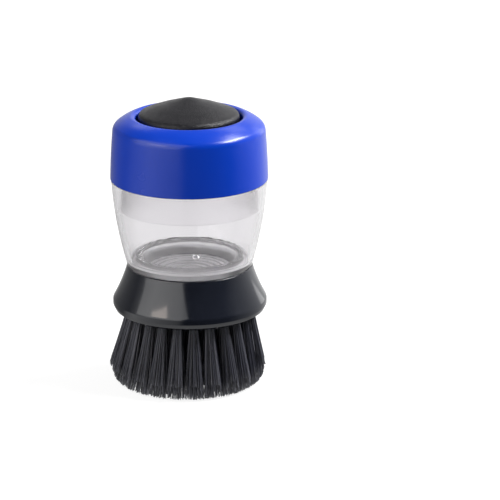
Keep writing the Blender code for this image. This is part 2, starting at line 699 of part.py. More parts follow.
def build_cap_shell(parent):
    """Blue shell: barrelled side, sloping top, rounded button hole with a guide tube below it."""
    crease_z = CAP_HEIGHT
    rim_z = CAP_HEIGHT + CAP_TOP_RISE
    crease = (CAP_RADIUS - CAP_TAPER, crease_z)
    rim = rim_corner(crease, (HOLE_RADIUS + CAP_RIM_ROUND, rim_z - CAP_RIM_ROUND))
    barrel = bow(crease, (CAP_RADIUS, 0), CAP_BARREL, 3)
    tube_end = rim_z - CAP_TUBE_DEPTH
    ledge_z = plate_height() + PLATE_THICKNESS + SLIDE_GAP
    inner = CAP_INNER_RADIUS - CAP_LEDGE
    tube_radius = HOLE_RADIUS + CAP_TUBE_WALL
    outline = fillet((HOLE_RADIUS, tube_end), rim, crease, CAP_RIM_ROUND, 3)
    shoulder = fillet(rim, crease, barrel[1], CAP_CREASE_ROUND, 3)
    outline += bow(outline[-1], shoulder[0], CAP_TOP_BULGE, 2)[1:-1]
    outline += shoulder
    outline += barrel[1:]
    outline += [
        (CAP_INNER_RADIUS, 0),
        (CAP_INNER_RADIUS, ledge_z),
        (inner, ledge_z),
        (inner - CAP_TOP_INSET, crease_z - CAP_TOP_WALL),
        (tube_radius, rim_z - CAP_TOP_WALL),
        (tube_radius, tube_end),
        (HOLE_RADIUS, tube_end),
    ]
    return turned("cap_shell", outline, BLUE, parent, BODY_STEPS)


def build_bellows_ring(parent):
    """Ring that clamps the bellows' foot flange and seats the return spring."""
    low = plate_height() + PLATE_THICKNESS + SEAT_GAP + BELLOWS_FLANGE + SEAT_GAP
    high = low + RING_THICKNESS
    inner = BELLOWS_NECK_RADIUS + SEAT_GAP
    outline = [(inner, high), (RING_RADIUS, high), (RING_RADIUS, low), (inner, low)]
    return turned("bellows_ring", outline, WHITE_PLASTIC, parent, PUMP_STEPS)


def core_land_height():
    """Underside of the button's core above the cap's lower edge, where the spring and bellows push."""
    return CAP_HEIGHT + CAP_TOP_RISE - CORE_LAND_DROP


def build_pump_bellows(parent):
    """Silicone bellows: foot flange, folds and a closed top; open to the air port below."""
    foot = plate_height() + PLATE_THICKNESS + SEAT_GAP
    flange_top = foot + BELLOWS_FLANGE
    folds_low = flange_top + SEAT_GAP + RING_THICKNESS + SEAT_GAP
    top = core_land_height() - SEAT_GAP
    step = (top - BELLOWS_WALL - folds_low) / (2 * BELLOWS_FOLDS)
    zigzag = []
    for fold in range(2 * BELLOWS_FOLDS + 1):
        radius = BELLOWS_NECK_RADIUS if fold % 2 == 0 else BELLOWS_RADIUS
        zigzag.append((radius, folds_low + step * fold))
    outside = [(0, top), (BELLOWS_NECK_RADIUS, top)]
    outside += list(reversed(zigzag))
    outside += [
        (BELLOWS_NECK_RADIUS, flange_top),
        (RING_RADIUS, flange_top),
        (RING_RADIUS, foot),
    ]
    inside = [(BELLOWS_NECK_RADIUS - BELLOWS_WALL, foot)]
    inside += [(radius - BELLOWS_WALL, height) for radius, height in zigzag]
    inside += [(0, top - BELLOWS_WALL)]
    return turned("pump_bellows", outside + inside, SILICONE, parent, SMALL_STEPS, closed=False)


def build_return_spring(parent):
    """Steel wire coil on a helix, between the clamp ring and the button's core."""
    seat = plate_height() + PLATE_THICKNESS + 3 * SEAT_GAP + BELLOWS_FLANGE + RING_THICKNESS
    low = seat + SPRING_WIRE / 2
    high = core_land_height() - SEAT_GAP - SPRING_WIRE / 2
    count = SPRING_TURNS * POINTS_PER_TURN
    points = []
    for number in range(count + 1):
        share = number / count
        turn = FULL_TURN * SPRING_TURNS * share
        points.append(Vector((SPRING_RADIUS * math.cos(turn), SPRING_RADIUS * math.sin(turn),
                              low + (high - low) * share)))
    gap = least_gap(points)
    print(f"return_spring: least gap between its turns {gap / MM:.2f} mm")
    curve = bpy.data.curves.new("return_spring", "CURVE")
    curve.dimensions = "3D"
    curve.bevel_depth = SPRING_WIRE / 2
    curve.bevel_resolution = 1
    curve.use_fill_caps = True
    spline = curve.splines.new("POLY")
    spline.points.add(len(points) - 1)
    for spot, point in zip(spline.points, points):
        spot.co = (*point, 1)
    wire = link_part("return_spring_wire", curve, None, parent)
    bpy.context.view_layer.update()
    mesh = bpy.data.meshes.new_from_object(wire.evaluated_get(bpy.context.evaluated_depsgraph_get()))
    shape = bmesh.new()
    shape.from_mesh(mesh)
    bmesh.ops.remove_doubles(shape, verts=shape.verts, dist=MERGE_DISTANCE)
    shape.to_mesh(mesh)
    shape.free()
    smooth(mesh, math.radians(60))
    mesh.materials.clear()
    spring = link_part("return_spring", mesh, STEEL, parent)
    spring.matrix_world = wire.matrix_world
    bpy.data.objects.remove(wire)
    return spring


def least_gap(points):
    """Least gap between the wire's surface on one turn and the next, measured on its points."""
    nearest = min((points[i] - points[j]).length
                  for i in range(len(points))
                  for j in range(i + POINTS_PER_TURN // 2, len(points)))
    return nearest - SPRING_WIRE


def tent(drop, inset):
    """Outline of the button's top from its centre outwards, lowered and drawn in for inner surfaces."""
    reach = BUTTON_RADIUS - BUTTON_EDGE_ROUND - inset
    points = []
    for radius_share, rise_share in zip(TENT_RADIUS_SHARES, TENT_RISE_SHARES):
        height = BUTTON_EDGE_RISE + BUTTON_TENT_RISE * rise_share - drop
        points.append((reach * radius_share, height))
    return points


def build_push_button(parent):
    """Soft cover: a low tent with a rounded edge and a short side wall that dips into the cap's hole."""
    shoulder = (BUTTON_RADIUS, BUTTON_EDGE_RISE)
    inner = BUTTON_RADIUS - COVER_WALL
    top = tent(0, 0)
    outline = top[:-1]
    outline += fillet(top[-2], shoulder, (BUTTON_RADIUS, -COVER_DEPTH), BUTTON_EDGE_ROUND, 3)
    outline += [(BUTTON_RADIUS, -COVER_DEPTH), (inner, -COVER_DEPTH)]
    underside = tent(COVER_THICKNESS, COVER_WALL)
    outline += [(inner, underside[-1][1] - COVER_WALL)]
    outline += list(reversed(underside))
    return turned("push_button", outline, SOFT_BLACK, parent, BODY_STEPS, closed=False)


def build_button_core(parent):
    """Rigid core: domed shell, boss over the bellows, land over the spring, skirt with the catch flange."""
    catch_top = -CAP_TUBE_DEPTH - SLIDE_GAP
    catch_low = catch_top - CORE_CATCH_HEIGHT
    land = -CORE_LAND_DROP
    domed = tent(COVER_THICKNESS + SEAT_GAP, COVER_WALL + SEAT_GAP)
    outline = domed
    outline += [
        (CORE_RADIUS, domed[-1][1] - COVER_WALL),
        (CORE_RADIUS, catch_top),
        (HOLE_RADIUS + CORE_CATCH, catch_top),
        (HOLE_RADIUS + CORE_CATCH, catch_low),
        (CORE_SKIRT_RADIUS, catch_low),
        (CORE_SKIRT_RADIUS, land),
        (BELLOWS_RADIUS, land),
        (BELLOWS_RADIUS, land + CORE_SHELL),
        (BELLOWS_NECK_RADIUS, land + CORE_SHELL),
        (BELLOWS_NECK_RADIUS, land),
        (0, land),
    ]
    return turned("button_core", outline, WHITE_PLASTIC, parent, PUMP_STEPS, closed=False)


clear_scene()
PARTS = make_collection("soap_dispensing_scrubber")
CUTTERS = make_collection("cutters")
AXIS_HEIGHTS = {}

BLUE = make_material("blue_gloss_plastic", (0.018, 0.075, 0.55), 0.3)
SOFT_BLACK = make_material("soft_touch_black", (0.045, 0.043, 0.048), 0.6)
CLEAR = make_material("clear_plastic", (0.93, 0.94, 0.96), 0.05, transmission=1.0)
BLACK_GLOSS = make_material("black_gloss_plastic", (0.008, 0.009, 0.012), 0.15)
BLACK_SATIN = make_material("black_satin_plastic", (0.012, 0.012, 0.014), 0.4)
NYLON = make_material("charcoal_nylon", (0.02, 0.021, 0.025), 0.35)
SILICONE = make_material("pale_silicone", (0.75, 0.76, 0.78), 0.45)
WHITE_PLASTIC = make_material("white_plastic", (0.8, 0.8, 0.8), 0.4)
RUBBER = make_material("grey_rubber", (0.25, 0.25, 0.26), 0.7)
STEEL = make_material("spring_steel", (0.55, 0.55, 0.57), 0.3, metallic=1.0)

HEAD_AXIS = make_empty("head_axis", 0)
RESERVOIR_AXIS = make_empty("reservoir_axis", FOOT_Z, HEAD_AXIS)
CAP_AXIS = make_empty("cap_axis", CAP_EDGE_Z, RESERVOIR_AXIS)
BUTTON_AXIS = make_empty("button_axis", RIM_Z, CAP_AXIS)

TUFT_PLACES = build_tufts(HEAD_AXIS)
build_brush_block(HEAD_AXIS, TUFT_PLACES)
build_brush_collar(HEAD_AXIS)
build_neck_seal(RESERVOIR_AXIS)
build_reservoir(RESERVOIR_AXIS)
build_slit_valve(RESERVOIR_AXIS)
build_valve_retainer(RESERVOIR_AXIS)
build_lid_gasket(CAP_AXIS)
build_cap_insert(CAP_AXIS)
build_cap_shell(CAP_AXIS)
build_bellows_ring(CAP_AXIS)
build_pump_bellows(CAP_AXIS)
build_return_spring(CAP_AXIS)
build_push_button(BUTTON_AXIS)
build_button_core(BUTTON_AXIS)
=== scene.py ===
"""Palm scrubber with a bristle head, a clear soap reservoir and a blue screw cap with an air pump button."""

import math
import random

import bmesh
import bpy
from mathutils import Matrix, Vector


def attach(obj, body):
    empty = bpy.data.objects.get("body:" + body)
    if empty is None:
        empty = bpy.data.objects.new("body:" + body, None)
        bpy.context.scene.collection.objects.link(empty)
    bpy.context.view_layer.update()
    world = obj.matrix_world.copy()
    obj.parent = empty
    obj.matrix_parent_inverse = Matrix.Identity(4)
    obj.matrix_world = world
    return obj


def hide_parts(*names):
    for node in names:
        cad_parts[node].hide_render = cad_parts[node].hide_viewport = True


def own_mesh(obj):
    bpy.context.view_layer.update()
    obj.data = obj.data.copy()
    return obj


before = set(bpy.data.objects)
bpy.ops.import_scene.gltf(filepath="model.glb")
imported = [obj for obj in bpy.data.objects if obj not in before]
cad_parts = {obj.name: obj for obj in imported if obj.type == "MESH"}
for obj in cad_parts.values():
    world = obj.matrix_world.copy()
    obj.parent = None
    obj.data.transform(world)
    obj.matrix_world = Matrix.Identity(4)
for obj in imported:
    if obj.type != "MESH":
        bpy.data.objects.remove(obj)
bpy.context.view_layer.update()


# Brush block. A moulded black disc with a hub, drilled for the tufts and funnelled down to the soap outlet.
# It is satin plastic, snapped into a groove inside the collar's lip. Sizes are in mm here and below.
MM = 0.001
FULL_TURN = 2 * math.pi
SHARP_EDGE = math.radians(35)
ON_AXIS = 1e-6
BLOCK_TURN_STEPS = 144
BLOCK_FACE = 30.4
DRILL_RADIUS = 2.1
DRILL_DEPTH = 2.1
DRILL_SIDES = 20
DRILL_OVERRUN = 1.0
ROOT_TOP_BAND = 0.05
TUFT_NAMES = sorted(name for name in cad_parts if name.startswith("tuft_"))


def soften(outline, closed, arc_steps=6):
    """Outline with its third values as corner roundings.

    A rounding takes at most half of a straight run that it shares with another. Long runs get a point close
    to each end, so that they stay straight when the turned piece is shaded smoothly.
    """
    shared_run, own_run = 0.48, 0.98
    hold, long_run = 0.14, 0.9
    count = len(outline)
    spots = [Vector(point[:2]) for point in outline]
    bent = []
    for i, point in enumerate(outline):
        rounding = point[2] if len(point) > 2 else 0
        inner = closed or 0 < i < count - 1
        if not rounding or not inner:
            bent.append(spots[i])
            continue
        neighbours = outline[i - 1], outline[(i + 1) % count]
        before, after = (Vector(spot[:2]) - spots[i] for spot in neighbours)
        free = [shared_run if len(spot) > 2 and spot[2] else own_run for spot in neighbours]
        half = before.angle(after) / 2
        setback = min(rounding / math.tan(half), free[0] * before.length, free[1] * after.length)
        rounding = setback * math.tan(half)
        start = spots[i] + before.normalized() * setback
        end = spots[i] + after.normalized() * setback
        bisector = (before.normalized() + after.normalized()).normalized()
        centre = spots[i] + bisector * rounding / math.sin(half)
        first, last = start - centre, end - centre
        sweep = math.atan2(first.x * last.y - first.y * last.x, first.dot(last))
        for step in range(arc_steps + 1):
            turn = sweep * step / arc_steps
            bent.append(centre + Vector((first.x * math.cos(turn) - first.y * math.sin(turn),
                                         first.x * math.sin(turn) + first.y * math.cos(turn))))
    held = []
    last = len(bent) if closed else len(bent) - 1
    for i in range(last):
        start, end = bent[i], bent[(i + 1) % len(bent)]
        held.append(start)
        run = end - start
        if run.length > long_run:
            held += [start + run.normalized() * hold, end - run.normalized() * hold]
    if not closed:
        held.append(bent[-1])
    return held


def placed(radius, turn, height):
    """Place in metres from a radius and height in mm, at a turn about the scrubber's axis."""
    return radius * MM * math.cos(turn), radius * MM * math.sin(turn), height * MM


def turned(name, outline, steps, closed=True):
    """A piece turned about the scrubber's axis from (radius, height, rounding) points."""
    shape = bmesh.new()
    rings = []
    for radius, height in soften(outline, closed):
        if radius < ON_AXIS:
            rings.append([shape.verts.new((0, 0, height * MM))])
            continue
        turns = [FULL_TURN * step / steps for step in range(steps)]
        rings.append([shape.verts.new(placed(radius, turn, height)) for turn in turns])
    for upper, lower in zip(rings, rings[1:] + (rings[:1] if closed else [])):
        for step in range(steps):
            after = step + 1
            corners = [upper[step % len(upper)], upper[after % len(upper)],
                       lower[after % len(lower)], lower[step % len(lower)]]
            corners = list(dict.fromkeys(corners))
            if len(corners) > 2:
                shape.faces.new(corners)
    bmesh.ops.recalc_face_normals(shape, faces=shape.faces)
    return piece_from(name, shape)


def piece_from(name, shape, sharp=SHARP_EDGE):
    """Makes a shape into a piece, shaded smoothly except over edges sharper than a given angle."""
    mesh = bpy.data.meshes.new(name)
    shape.to_mesh(mesh)
    shape.free()
    mesh.shade_smooth()
    mesh.set_sharp_from_angle(angle=sharp)
    piece = bpy.data.objects.new(name, mesh)
    bpy.context.scene.collection.objects.link(piece)
    return piece


def fit(piece, body, slot, finish, *nodes):
    """Dresses a piece, hangs it on its body and lets it stand for its solids."""
    piece.data.materials.clear()
    piece.data.materials.append(finish)
    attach(piece, body)
    if nodes:
        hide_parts(*nodes)


def moulded(name, color, roughness, grain, depth, sockets=(), fleck=0.08, rough_spread=0.05,
            stretch=(1, 1, 1)):
    """A finish whose tone, roughness and surface vary: grain is its size and depth its relief, in mm.

    The tone varies by the share fleck and the roughness by rough_spread, both in clouds many grains wide.
    """
    cloud_grains, cloud_detail, grain_detail = 14, 3, 4
    wear_from, wear_to = 0.3, 0.7
    material = bpy.data.materials.new(name)
    material.use_nodes = True
    nodes, links = material.node_tree.nodes, material.node_tree.links
    shader = nodes["Principled BSDF"]
    for socket, value in dict(sockets).items():
        shader.inputs[socket].default_value = value
    place = nodes.new("ShaderNodeTexCoord")
    stretched = nodes.new("ShaderNodeMapping")
    stretched.inputs["Scale"].default_value = stretch
    links.new(place.outputs["Object"], stretched.inputs["Vector"])

    def noise(size, detail):
        node = nodes.new("ShaderNodeTexNoise")
        node.inputs["Scale"].default_value = 1 / (size * MM)
        node.inputs["Detail"].default_value = detail
        links.new(stretched.outputs["Vector"], node.inputs["Vector"])
        return node

    cloud, fine = noise(grain * cloud_grains, cloud_detail), noise(grain, grain_detail)
    tone = nodes.new("ShaderNodeMix")
    tone.data_type = "RGBA"
    tone.inputs["A"].default_value = (*(c * (1 - fleck) for c in color), 1)
    tone.inputs["B"].default_value = (*(min(1, c * (1 + fleck)) for c in color), 1)
    links.new(cloud.outputs["Fac"], tone.inputs["Factor"])
    links.new(tone.outputs["Result"], shader.inputs["Base Color"])
    wear = nodes.new("ShaderNodeMapRange")
    wear.inputs["From Min"].default_value = wear_from
    wear.inputs["From Max"].default_value = wear_to
    wear.inputs["To Min"].default_value = max(0, roughness - rough_spread)
    wear.inputs["To Max"].default_value = roughness + rough_spread
    links.new(cloud.outputs["Fac"], wear.inputs["Value"])
    links.new(wear.outputs["Result"], shader.inputs["Roughness"])
    bump = nodes.new("ShaderNodeBump")
    bump.inputs["Strength"].default_value = 0.5
    bump.inputs["Distance"].default_value = depth * MM
    links.new(fine.outputs["Fac"], bump.inputs["Height"])
    links.new(bump.outputs["Normal"], shader.inputs["Normal"])
    return material


def tuft_root(name):
    """Centre of the tuft's drilled hole, from the top of its rooted plug."""
    spots = [spot.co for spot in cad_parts[name].data.vertices]
    high = max(spot.z for spot in spots)
    top = [spot for spot in spots if spot.z > high - ROOT_TOP_BAND * MM]
    return Vector((sum(spot.x for spot in top) / len(top), sum(spot.y for spot in top) / len(top)))


def cut_away(piece, tool, overlapping=False):
    """Cuts the tool's shape out of a piece and throws the tool away."""
    cut = piece.modifiers.new("Cut", "BOOLEAN")
    cut.operation, cut.solver, cut.object, cut.use_self = "DIFFERENCE", "EXACT", tool, overlapping
    bpy.context.view_layer.update()
    carved = bpy.data.meshes.new_from_object(piece.evaluated_get(bpy.context.evaluated_depsgraph_get()))
    piece.modifiers.clear()
    piece.data = carved
    bpy.data.objects.remove(tool)


TUFT_ROOTS = {name: tuft_root(name) for name in TUFT_NAMES}
block_outline = [(22.2, 39.1, 0.3), (22.2, 36.0, 0.4), (27.5, 36.0, 0.3), (27.5, 31.6, 0.15), (26.6, 31.6),
                 (26.6, BLOCK_FACE, 0.2), (1.9, BLOCK_FACE, 0.3), (1.9, 37.1, 0.3), (8.0, 39.1, 0.3)]
brush_block = turned("brush_block_moulding", block_outline, BLOCK_TURN_STEPS)
drills = bmesh.new()
drill_length = DRILL_DEPTH + DRILL_OVERRUN
for root in TUFT_ROOTS.values():
    middle = (root.x, root.y, (BLOCK_FACE + DRILL_DEPTH - drill_length / 2) * MM)
    bmesh.ops.create_cone(drills, cap_ends=True, segments=DRILL_SIDES, radius1=DRILL_RADIUS * MM,
                          radius2=DRILL_RADIUS * MM, depth=drill_length * MM,
                          matrix=Matrix.Translation(middle))
cut_away(brush_block, piece_from("tuft_drills", drills))
brush_block.data.set_sharp_from_angle(angle=SHARP_EDGE)
SATIN_BLACK = moulded("satin_black_moulding", (0.012, 0.012, 0.014), 0.42, 0.35, 0.02, fleck=0.2)
fit(brush_block, "head", "black_satin", SATIN_BLACK, "brush_block")


# Tufts. Bundles of drawn charcoal nylon, folded into the drilled holes, fanned outwards and trimmed in one
# cut. Each fibre is its own strand; neighbours cling in small clumps and a few strays stand off.
FIBRES_PER_TUFT = 144
FIBRE_RADIUS = 0.135
FIBRE_SIDES = 4
FIBRE_RINGS = 8
FIBRE_SUNK = 0.3
FIBRE_SCATTER = 0.18
FIBRE_BOW = 0.1
FIBRE_WAVE = (0.02, 0.05)
FIBRE_WAVE_TURN = 9
FIBRE_DRIFT_POWER = 1.06
BUNDLE_RADIUS = 1.62
CLUMPS = 7
CLUMP_SCATTER = 0.3
CLUMP_REACH = 0.7
STRAYS = 6
STRAY_SCATTER = 0.9
STRAY_BOW = 3
STRAY_WAVE = 6
TRIM_FLAT = 25.5
TRIM_ROUNDING = 7.0
TRIM_RAGGED = 0.42
TRIM_LOWEST = 0.02
TRIM_CENTRE = Vector((-0.9, 0))
LEANS = {"outer": 11.8, "middle": 6.0, "inner": 2.5}
LEAN_SCATTER = 0.35
SIDE_FLARE = 3.1
FANS = {"outer": 3.6, "middle": 3.9, "inner": 3.5}
FANS_ACROSS = {"outer": 4.2, "middle": 3.9, "inner": 3.3}
FIRST_SEED = 100


def scatter(draw, size):
    return Vector((draw.gauss(0, size), draw.gauss(0, size)))


def trim_height(radius):
    """Height of the cut above the table: flat in the middle and rounded up at its edge."""
    past = min(max(0.0, radius - TRIM_FLAT), TRIM_ROUNDING)
    return TRIM_ROUNDING - math.sqrt(TRIM_ROUNDING ** 2 - past ** 2)


def fibre_path(root, outward, lean, ring, spot, clump, stray, draw):
    """Points of one fibre from inside its hole to the trimmed tip."""
    across = Vector((-outward.y, outward.x))
    local = outward * spot.x + across * spot.y
    reach = BLOCK_FACE * math.tan(math.radians(lean))
    spread = outward * spot.x * (FANS[ring] / BUNDLE_RADIUS - 1)
    spread += across * spot.y * (FANS_ACROSS[ring] / BUNDLE_RADIUS - 1)
    spread += clump + scatter(draw, FIBRE_SCATTER)
    if stray:
        spread += scatter(draw, STRAY_SCATTER)
    drift = outward * reach + spread
    tip = root + local + drift
    low = trim_height((tip - TRIM_CENTRE).length) + draw.uniform(-TRIM_RAGGED, TRIM_RAGGED)
    share_end = (BLOCK_FACE - max(low, TRIM_LOWEST)) / BLOCK_FACE
    bow = scatter(draw, FIBRE_BOW) * (STRAY_BOW if stray else 1)
    wave, phase = draw.uniform(*FIBRE_WAVE) * (STRAY_WAVE if stray else 1), draw.uniform(0, FULL_TURN)
    points = [(root.x + local.x, root.y + local.y, BLOCK_FACE + DRILL_DEPTH - FIBRE_SUNK)]
    for step in range(FIBRE_RINGS - 1):
        share = share_end * step / (FIBRE_RINGS - 2)
        offset = drift * share ** FIBRE_DRIFT_POWER + bow * math.sin(math.pi * share)
        offset += across * wave * math.sin(phase + FIBRE_WAVE_TURN * share) * share
        points.append((root.x + local.x + offset.x, root.y + local.y + offset.y, BLOCK_FACE * (1 - share)))
    return points


def make_tuft(name, seed):
    """All the fibres of one tuft, spread evenly over its hole and drawn to the nearest clump."""
    draw = random.Random(seed)
    ring = name.split("_")[1]
    root = TUFT_ROOTS[name] / MM
    outward = root.normalized() if root.length > 1 else Vector((1, 0))
    lean = LEANS[ring] - (SIDE_FLARE * outward.x if ring == "outer" else 0)
    lean += draw.gauss(0, LEAN_SCATTER)
    clumps = [scatter(draw, CLUMP_SCATTER) for _ in range(CLUMPS)]
    clump_turns = [FULL_TURN * clump / CLUMPS for clump in range(CLUMPS)]
    centres = [Vector((math.cos(turn), math.sin(turn))) for turn in clump_turns]
    golden = math.pi * (3 - math.sqrt(5))
    verts, faces = [], []
    for number in range(FIBRES_PER_TUFT):
        radius = BUNDLE_RADIUS * math.sqrt((number + 0.5) / FIBRES_PER_TUFT)
        spot = Vector((radius * math.cos(number * golden), radius * math.sin(number * golden)))
        nearest = min(range(CLUMPS), key=lambda k: (centres[k] * BUNDLE_RADIUS * CLUMP_REACH - spot).length)
        stray = number >= FIBRES_PER_TUFT - STRAYS
        path = fibre_path(root, outward, lean, ring, spot, clumps[nearest], stray, draw)
        twist = draw.uniform(0, FULL_TURN)
        base = len(verts)
        for x, y, z in path:
            for side in range(FIBRE_SIDES):
                turn = twist + FULL_TURN * side / FIBRE_SIDES
                verts.append(((x + FIBRE_RADIUS * math.cos(turn)) * MM,
                              (y + FIBRE_RADIUS * math.sin(turn)) * MM, z * MM))
        for ring_index in range(len(path) - 1):
            for side in range(FIBRE_SIDES):
                here, there = base + ring_index * FIBRE_SIDES, base + (ring_index + 1) * FIBRE_SIDES
                after = (side + 1) % FIBRE_SIDES
                faces.append((here + side, there + side, there + after, here + after))
        end = base + (len(path) - 1) * FIBRE_SIDES
        faces.append(tuple(base + side for side in range(FIBRE_SIDES)))
        faces.append(tuple(end + side for side in reversed(range(FIBRE_SIDES))))
    mesh = bpy.data.meshes.new(name + "_fibres")
    mesh.from_pydata(verts, [], faces)
    mesh.shade_smooth()
    mesh.set_sharp_from_angle(angle=math.radians(95))
    tuft = bpy.data.objects.new(name + "_fibres", mesh)
    bpy.context.scene.collection.objects.link(tuft)
    return tuft


def drawn_nylon():
    """Charcoal nylon: each strand has its own tone, with long fine draw lines along it."""
    material = moulded("drawn_charcoal_nylon", (0.02, 0.021, 0.026), 0.34, 0.16, 0.01,
                       {"Specular IOR Level": 0.85}, rough_spread=0.08, stretch=(1, 1, 0.12))
    nodes, links = material.node_tree.nodes, material.node_tree.links
    shader = nodes["Principled BSDF"]
    strand = nodes.new("ShaderNodeNewGeometry")
    tones = nodes.new("ShaderNodeValToRGB")
    tones.color_ramp.elements[0].color = (0.0075, 0.008, 0.0125, 1)
    tones.color_ramp.elements[1].color = (0.26, 0.26, 0.29, 1)
    tones.color_ramp.elements.new(0.5).color = (0.021, 0.0225, 0.035, 1)
    tones.color_ramp.elements.new(0.82).color = (0.08, 0.083, 0.112, 1)
    links.new(strand.outputs["Random Per Island"], tones.inputs["Fac"])
    links.new(tones.outputs["Color"], shader.inputs["Base Color"])
    return material


NYLON = drawn_nylon()
for tuft_number, tuft_name in enumerate(TUFT_NAMES):
    fit(make_tuft(tuft_name, FIRST_SEED + tuft_number), "head", "charcoal_nylon", NYLON, tuft_name)


# Collar. The flared black skirt between reservoir and bristles, injection moulded and polished, with a rolled
# ridge, a turned-under lip and a socket tube inside for the reservoir's spigot.
COLLAR_TURN_STEPS = 256


def bowed(start, end, bulge, count):
    """Points of a shallow arc from start to end, standing off to the left of the way by bulge."""
    start, end = Vector(start), Vector(end)
    way = end - start
    side = Vector((-way.y, way.x)).normalized()
    shares = [step / count for step in range(count + 1)]
    return [tuple(start + way * share + side * 4 * bulge * share * (1 - share)) for share in shares]


collar_flare = bowed((25.4, 48.9), (31.2, 34.9), -0.45, 20)
collar_outline = [(25.4, 48.9, 0.25)] + collar_flare[1:-1]
collar_outline += [(31.2, 34.9, 2.2), (31.2, 32.9, 0.6), (30.35, 31.1), (28.5, 29.9, 0.25), (26.9, 29.9, 0.2),
                   (26.9, 31.2), (27.8, 31.2), (27.8, 36.4, 0.8), (24.7, 44.1, 0.2), (24.4, 44.1),
                   (24.4, 36.4, 0.2), (22.6, 36.4, 0.3), (22.6, 48.9, 0.3)]
GLOSS_BLACK = moulded("polished_black_moulding", (0.011, 0.013, 0.020), 0.13, 0.6, 0.004,
                      {"Specular IOR Level": 0.75}, fleck=0.15, rough_spread=0.04)
brush_collar = turned("brush_collar_moulding", collar_outline, COLLAR_TURN_STEPS)
fit(brush_collar, "head", "black_gloss", GLOSS_BLACK, "brush_collar")


# Neck seal. A flat grey rubber ring, punched and lightly bloomed, between the reservoir's spigot and the hub.
# It rides on the slide that lets the reservoir lift out of the head.
SEAL_STEPS = 128
SEAL_RUBBER = moulded("moulded_grey_rubber", (0.25, 0.25, 0.26), 0.7, 0.25, 0.03, fleck=0.18)


def flat_ring(name, inner, outer, top, bottom, steps, inside=0.2, outside=0.2):
    """A flat ring between two radii and two heights, with its edges rounded inside and outside."""
    return turned(name, [(inner, top, inside), (outer, top, outside), (outer, bottom, outside),
                         (inner, bottom, inside)], steps)


neck_seal = flat_ring("neck_seal_ring", 20.2, 21.9, 40.9, 39.4, SEAL_STEPS, inside=0.1, outside=0.4)
fit(neck_seal, "neck_seal", "seal_rubber", SEAL_RUBBER, "neck_seal")


# Reservoir. A thick, clear, polished tub with a rim bead, a bowed wall, and a rimmed well in its floor that
# steps down to the valve. A small gate pip stands in the well, and short thread ribs line the mouth.
TUB_STEPS = 256
TUB_WALL = 2.2
INNER_FOOT = 51.9
INNER_TOP = 73.45
INNER_STEPS = 14
INNER_HEIGHTS = [INNER_FOOT + (INNER_TOP - INNER_FOOT) * step / INNER_STEPS
                 for step in range(INNER_STEPS + 1)]
THREAD_LEAD = 18.0
THREAD_STARTS = 3
THREAD_ARC = math.radians(30)
RIB_STEPS = 30
RIB_RUN_OUT = 0.18
RIB_FOOT = 0.55
RIB_CREST = 0.2
GATE_PIP_TURN = math.radians(80)
GATE_PIP_REACH = 13.1
GATE_PIP_FOOT = 47.35
GATE_PIP_RADIUS = 2.1
GATE_PIP_SQUAT = 0.75
GATE_PIP_HEIGHT = 1.35
FLOOR_RING_SCALE = 140.0
# the groove's and the wall's frost shares: white frost that is also painted light, for light carried in the
# thick plastic
GROOVE_FROST_AND_LIGHT = 0.9
WALL_FROST_AND_LIGHT = 0.36
PLAIN_CLEARNESS = 0.97
FROST_AND_LIGHT_CLEARNESS = 0.05
FROSTED_ROUGHNESS = 0.25
tub_wall = bowed((31.35, 84.2), (25.4, 49.7), 0.95, 24)


def tub_radius(height):
    """Outer radius of the bowed wall at a height."""
    for (high_radius, high), (low_radius, low) in zip(tub_wall, tub_wall[1:]):
        if height >= low:
            return low_radius + (height - low) / (high - low) * (high_radius - low_radius)
    return tub_wall[-1][0]


tub_outline = [(29.85, 87.5, 0.3), (29.85, 85.1, 0.2), (31.55, 85.1, 0.12), (31.55, 84.3, 0.1)]
tub_outline += tub_wall[:-1]
tub_outline += [(25.4, 49.7, 0.3), (24.9, 49.2, 0.3), (22.2, 49.2, 0.3), (22.2, 41.2, 0.4), (20.2, 41.2, 0.4),
                (20.2, 44.6, 0.5), (11.1, 44.6, 0.5), (11.1, 41.5, 0.25), (9.6, 41.5, 0.25), (9.6, 44.6, 0.2),
                (4.9, 44.6, 0.2), (4.9, 45.9, 0.2), (6.6, 46.0, 0.1), (6.8, 46.35, 0.1), (8.8, 46.4, 0.1),
                (9.0, 46.8, 0.1), (11.4, 46.9, 0.1), (11.6, 47.3, 0.1), (17.5, 47.6, 1.2), (19.5, 53.6, 0.25),
                (21.7, 53.8, 0.2), (22.1, 51.3, 0.25), (23.4, 51.2, 0.3)]
tub_outline += [(tub_radius(height) - TUB_WALL, height) for height in INNER_HEIGHTS]
tub_outline += [(28.55, 84.2, 0.6), (28.55, 87.5, 0.3)]


def scaled(nodes, links, value, low, high, first, second):
    """Goes from first to second as the value goes from low to high."""
    node = nodes.new("ShaderNodeMapRange")
    for socket, number in zip(("From Min", "From Max", "To Min", "To Max"), (low, high, first, second)):
        node.inputs[socket].default_value = number
    links.new(value, node.inputs["Value"])
    return node.outputs["Result"]


def combined(nodes, links, operation, first, second):
    """Two numbers put together by a sum, product or the like; the second may be a plain number."""
    node = nodes.new("ShaderNodeMath")
    node.operation = operation
    for socket, value in zip(node.inputs, (first, second)):
        if isinstance(value, float):
            socket.default_value = value
        else:
            links.new(value, socket)
    return node.outputs[0]


